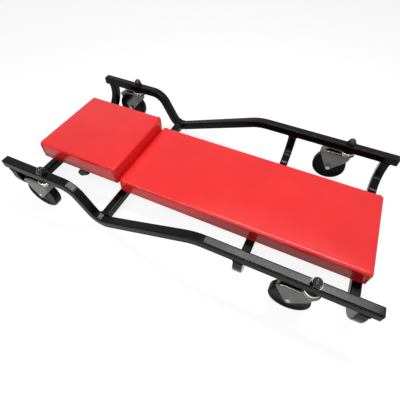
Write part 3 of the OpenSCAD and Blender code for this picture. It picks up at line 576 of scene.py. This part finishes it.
def pleat(cushion, toward_x, toward_y, section):
    """A roll of vinyl near a corner. The path goes up the wall and over most of the shoulder's quarter
    circle, where it thins out. Its way round from the corner's diagonal grows with the share of the
    path to the power 1.5, first along the corner's circle and then along the straight side. A
    section's point is the path's point plus its first number along the level tangent plus its second
    along the surface's normal, less the first squared over twice the corner's radius on the circle."""
    start_way, more_way, most_tilt = 0.0032, 0.008, 0.4 * np.pi
    above_bottom, below_top, fade, least_radius = 0.0006, 0.0014, 0.003, 0.001
    wall_points, turn_points, first_size, grown_over = 12, 6, 0.3, 0.06
    low = np.array([min(v[i] for v in cushion.bound_box) for i in range(3)])
    high = np.array([max(v[i] for v in cushion.bound_box) for i in range(3)])
    top, arc, board_top = high[2] - below_top, pad_corner * np.pi / 4, low[2] + skin + board_height
    wall = np.linspace(low[2] + above_bottom, top - pad_shoulder, wall_points)
    turn = np.linspace(0, most_tilt, turn_points + 1)[1:]
    tilt = np.concatenate([np.zeros(wall_points), turn])
    z = np.concatenate([wall, top - pad_shoulder + pad_shoulder * np.sin(turn)])
    up_wall = np.clip((wall - board_top) / (wall[-1] - board_top), 0, 1)
    inset = np.concatenate([bulge * (1 - np.sin(up_wall * np.pi / 2)), pad_shoulder * (1 - np.cos(turn))])
    share = np.linspace(0, 1, len(z))
    around = start_way + more_way * share ** 1.5
    angle = np.pi / 4 + np.minimum(around, arc) / pad_corner
    radius = np.maximum(pad_corner - inset, least_radius)
    corner = np.array([high[0] if toward_x > 0 else low[0], high[1] if toward_y > 0 else low[1]])
    flat = np.stack([toward_x * np.cos(angle), toward_y * np.sin(angle)], 1)
    path = np.zeros((len(z), 3))
    path[:, :2] = corner - (inset + radius)[:, None] * (toward_x, toward_y) + radius[:, None] * flat
    path[:, 0] -= toward_x * np.maximum(around - arc, 0.0)
    path[:, 2] = z
    normal = np.concatenate([np.cos(tilt)[:, None] * flat, np.sin(tilt)[:, None]], 1)
    tangent = np.stack([-toward_x * np.sin(angle), toward_y * np.cos(angle), np.zeros(len(z))], 1)
    size = np.minimum(share / grown_over + first_size, np.cos(tilt))
    bend = np.clip((arc + fade - around) / (2 * fade), 0, 1)[:, None] / (2 * pad_corner)
    along, up = section[:, 0], section[:, 1] - bend * section[:, 0] ** 2
    return (path[:, None] + size[:, None, None] * (along[None, :, None] * tangent[:, None]
                                                   + up[:, :, None] * normal[:, None]))


flap = np.array([(-0.0045, -0.0004), (-0.003, 0.0006), (-0.0015, 0.0014), (-0.0003, 0.0019),
                 (0.0003, 0.0017), (0.0005, 0.0009), (0.0001, -0.0008), (-0.0045, -0.0012)])
roll = np.array([(0.0023, -0.0008), (0.002, 0.0005), (0.0024, 0.001), (0.0033, 0.0009),
                 (0.0047, 0.0003), (0.006, -0.0004), (0.006, -0.0012)])
for cushion, body in ((main_cushion, "frame"), (headrest_cushion, "headrest")):
    rolls = [pleat(cushion, x, y, section) for x in (-1, 1) for y in (-1, 1) for section in (flap, roll)]
    folds = grid_mesh(cushion.name.replace("cushion", "corner_folds"), rolls, capped=True)
    folds.data.materials.append(vinyl)
    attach(folds, body)

# Headrest pivot hardware, screws and axles
# Turned and headed steel parts with a clear zinc plate: a bluish grey with faint tool marks.


def zinc_plate():
    made, tree, look, place = material("zinc_plate")
    cloud = mottle(tree, place, 90.0, 3.0)
    marks = mottle(tree, place, 900.0, 2.0)
    tree.links.new(two_colours(tree, between(tree, cloud, 0.0, 1.0), (0.3, 0.31, 0.32),
                               (0.42, 0.43, 0.44)), look.inputs["Base Color"])
    tree.links.new(between(tree, cloud, 0.26, 0.4), look.inputs["Roughness"])
    look.inputs["Metallic"].default_value = 1.0
    relief(tree, look, marks, 0.00002, 0.4)
    return made


casters = ("near_head", "far_head", "near_foot", "far_foot")
dress(zinc_plate(), "board_screws", "bracket_screws", "pivot_bolt", "pivot_washers", "caster_stems",
      *(f"{c}_{part}" for c in casters for part in ("axle_bolt", "axle_nut", "axle_sleeve")))

# Caster forks and races
# Stamped sheet steel with a plate. The forks' flat sides are a soft mirror with a slight haze. Their plate
# colour is darkened far below that of plated steel, as a painted dark reflection of the surroundings. The
# pressed caps over the races and the polished balls keep a plain bright plated colour.


def plated_sheet(name, dull, bright):
    """Plate with a colour that drifts from dull to bright."""
    made, tree, look, place = material(name)
    haze = mottle(tree, place, 40.0, 3.0)
    ripple = mottle(tree, place, 120.0, 1.0)
    colour = two_colours(tree, between(tree, haze, 0.0, 1.0), dull, bright)
    tree.links.new(colour, look.inputs["Base Color"])
    tree.links.new(between(tree, haze, 0.1, 0.18), look.inputs["Roughness"])
    look.inputs["Metallic"].default_value = 1.0
    relief(tree, look, ripple, 0.0001, 0.35)
    return made


# The forks' very dark plate colour is painted dark reflection, not the plate's own colour.
dress(plated_sheet("plated_sheet_painted_dark", (0.09, 0.09, 0.085), (0.14, 0.14, 0.133)),
      *(f"{c}_fork" for c in casters))
dress(plated_sheet("bright_plated_sheet", (0.42, 0.42, 0.41), (0.55, 0.55, 0.54)),
      "race_caps", "bearing_balls")

# Dome nuts and washers on the rails
# Cold formed and blackened, with a light oil film that gives a small sharp highlight.


def black_oxide():
    made, tree, look, place = material("black_oxide")
    cloud = mottle(tree, place, 150.0, 2.0)
    tree.links.new(two_colours(tree, between(tree, cloud, 0.0, 1.0), (0.003, 0.003, 0.0035),
                               (0.008, 0.008, 0.009)), look.inputs["Base Color"])
    tree.links.new(between(tree, cloud, 0.09, 0.14), look.inputs["Roughness"])
    look.inputs["Specular IOR Level"].default_value = 0.45
    return made


dress(black_oxide(), "dome_nuts", "stem_washers")

# Wheels
# A moulded black core with a dished web, and a smooth black tyre with round shoulders bonded on it.


def wheel_plastic():
    made, tree, look, place = material("wheel_plastic")
    swirl = mottle(tree, place, 70.0, 3.0)
    tree.links.new(two_colours(tree, between(tree, swirl, 0.0, 1.0), (0.0015, 0.0015, 0.0015),
                               (0.004, 0.004, 0.004)), look.inputs["Base Color"])
    tree.links.new(between(tree, swirl, 0.22, 0.34), look.inputs["Roughness"])
    look.inputs["Specular IOR Level"].default_value = 0.06
    return made


def tyre_rubber():
    made, tree, look, place = material("tyre_rubber")
    scuff = mottle(tree, place, 200.0, 3.0)
    tree.links.new(two_colours(tree, between(tree, scuff, 0.0, 1.0), (0.0015, 0.0015, 0.0015),
                               (0.004, 0.004, 0.004)), look.inputs["Base Color"])
    tree.links.new(between(tree, scuff, 0.3, 0.45), look.inputs["Roughness"])
    look.inputs["Specular IOR Level"].default_value = 0.06
    relief(tree, look, scuff, 0.00008, 0.4)
    return made


dress(wheel_plastic(), *(f"{c}_wheel" for c in casters))
dress(tyre_rubber(), *(f"{c}_tyre" for c in casters))
